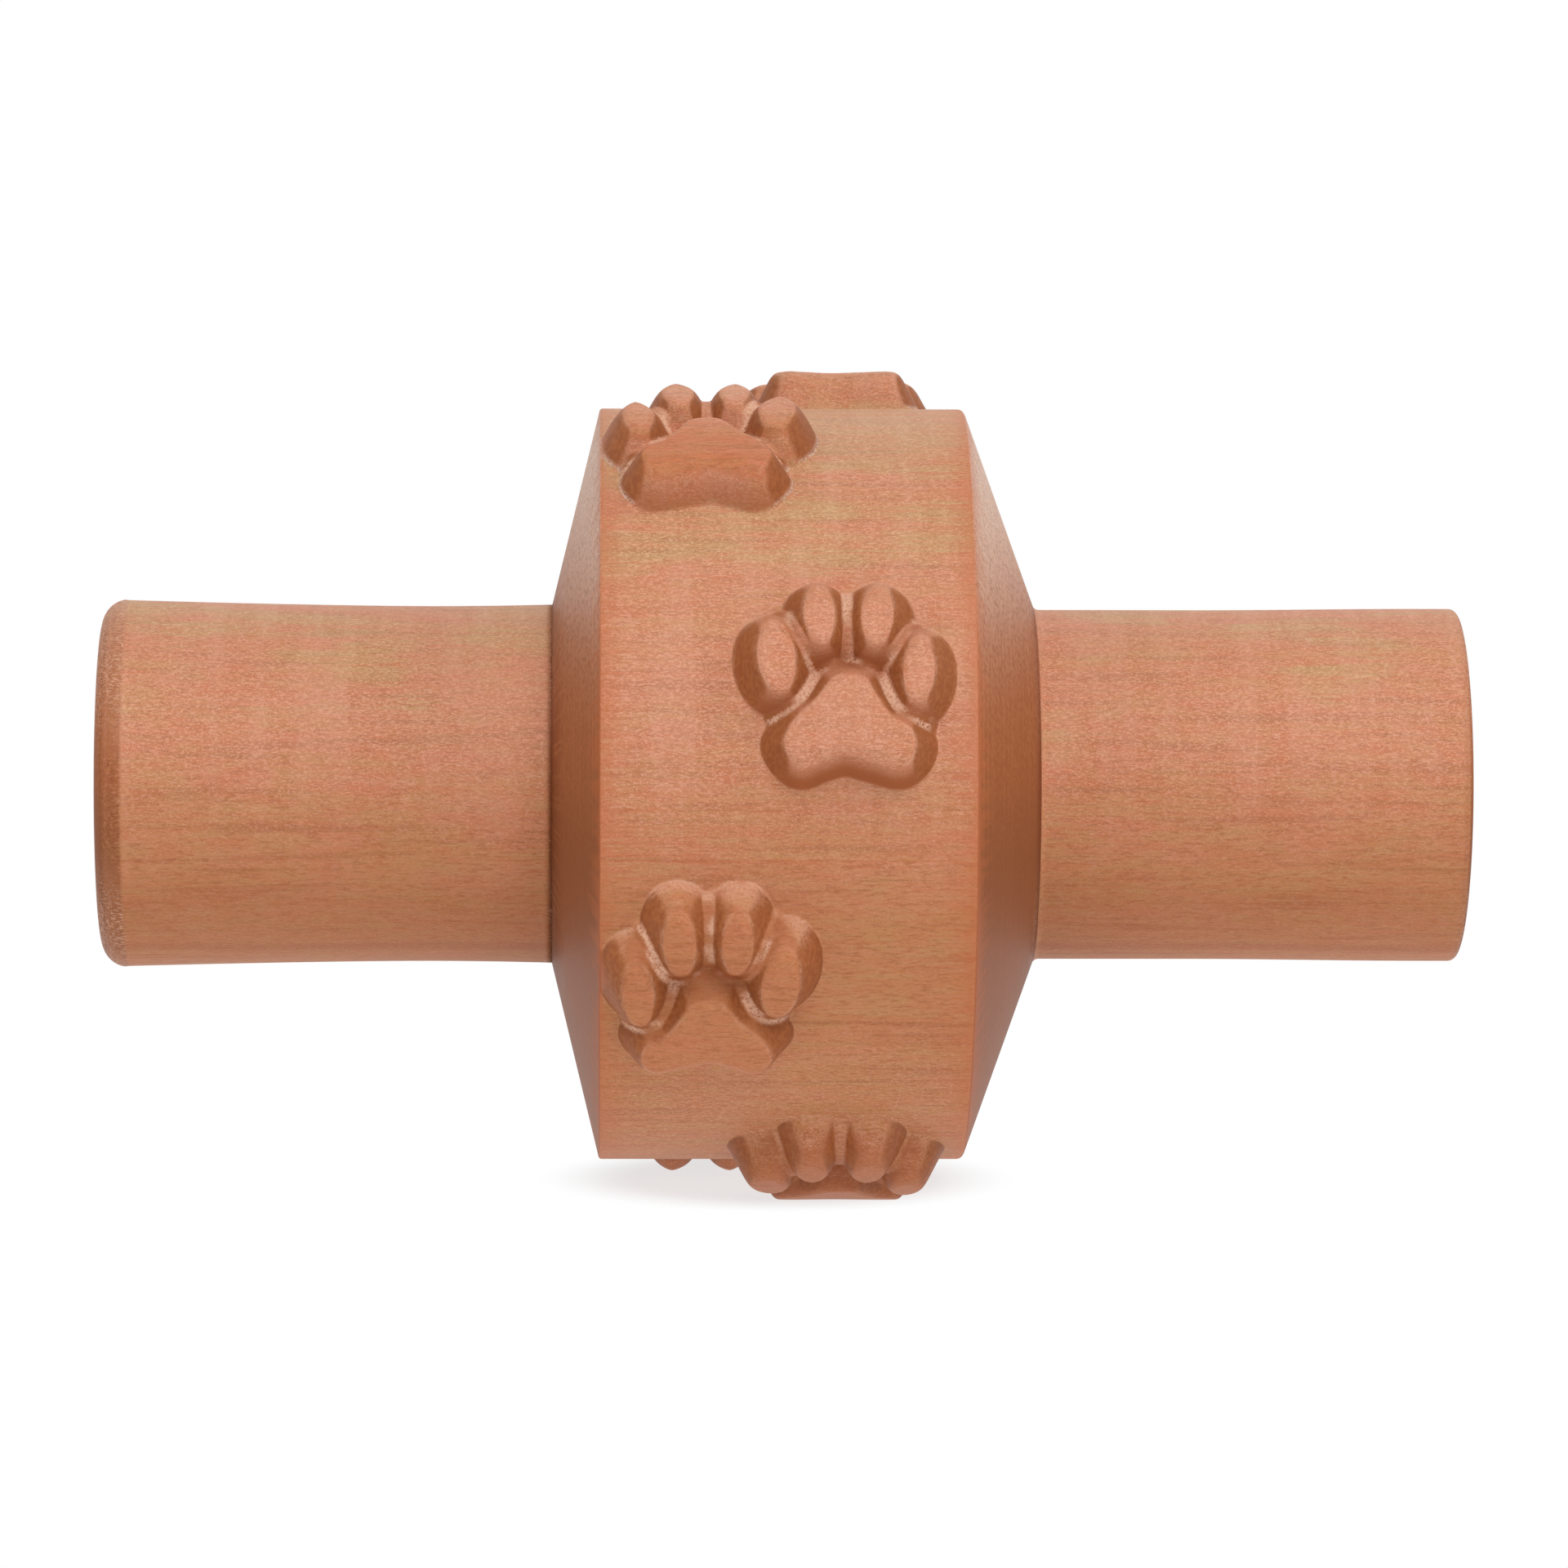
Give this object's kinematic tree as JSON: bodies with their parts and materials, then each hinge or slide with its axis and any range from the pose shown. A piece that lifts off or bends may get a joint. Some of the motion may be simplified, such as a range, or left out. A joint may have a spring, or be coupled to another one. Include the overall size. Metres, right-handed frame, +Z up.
{
  "type": "clay texture roller",
  "caption": "Turned wooden hand roller with raised paw prints round its drum, a cone on each side of the drum and a plain round handle at each end.",
  "frame": {"origin": "on the roller's axis, at half the overall length", "axes": "+X along the axis towards the slightly slimmer, squarer handle, +Z up as it lies on its prints"},
  "size_m": [0.1082, 0.0656, 0.0656],
  "materials": {
    "drum_wood": "bare sanded wood, fine grain along the roller",
    "spindle_wood": "bare sanded wood, fine grain along the roller"
  },
  "bodies": {
    "root": {"roller_drum": "drum_wood", "spindle": "spindle_wood"}
  },
  "joints": []
}
